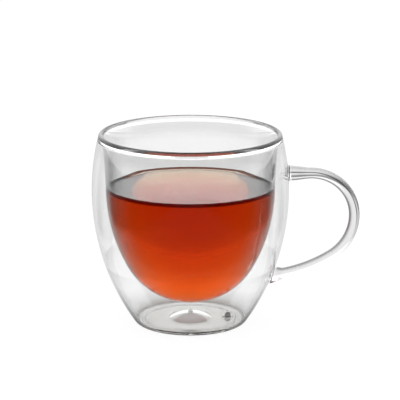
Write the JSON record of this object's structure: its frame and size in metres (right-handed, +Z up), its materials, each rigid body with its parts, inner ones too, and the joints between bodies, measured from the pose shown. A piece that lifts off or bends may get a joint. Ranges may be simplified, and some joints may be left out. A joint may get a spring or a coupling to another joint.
{
  "type": "double-walled glass mug of tea",
  "caption": "Double-walled clear glass mug with a fused rod handle, holding black tea: the inner vessel hangs in sealed air inside the outer wall.",
  "frame": {"origin": "on the mug's axis, in the plane of the foot ring that it stands on", "axes": "+Z up the mug's axis, out of its mouth; +X towards the handle; +Y to the back when the handle is seen on the right"},
  "size_m": [0.1175, 0.0864, 0.085],
  "materials": {
    "clear_glass": "polished",
    "black_tea": "gloss"
  },
  "bodies": {
    "root": {"glass_mug": "clear_glass", "tea": "black_tea"}
  },
  "joints": []
}
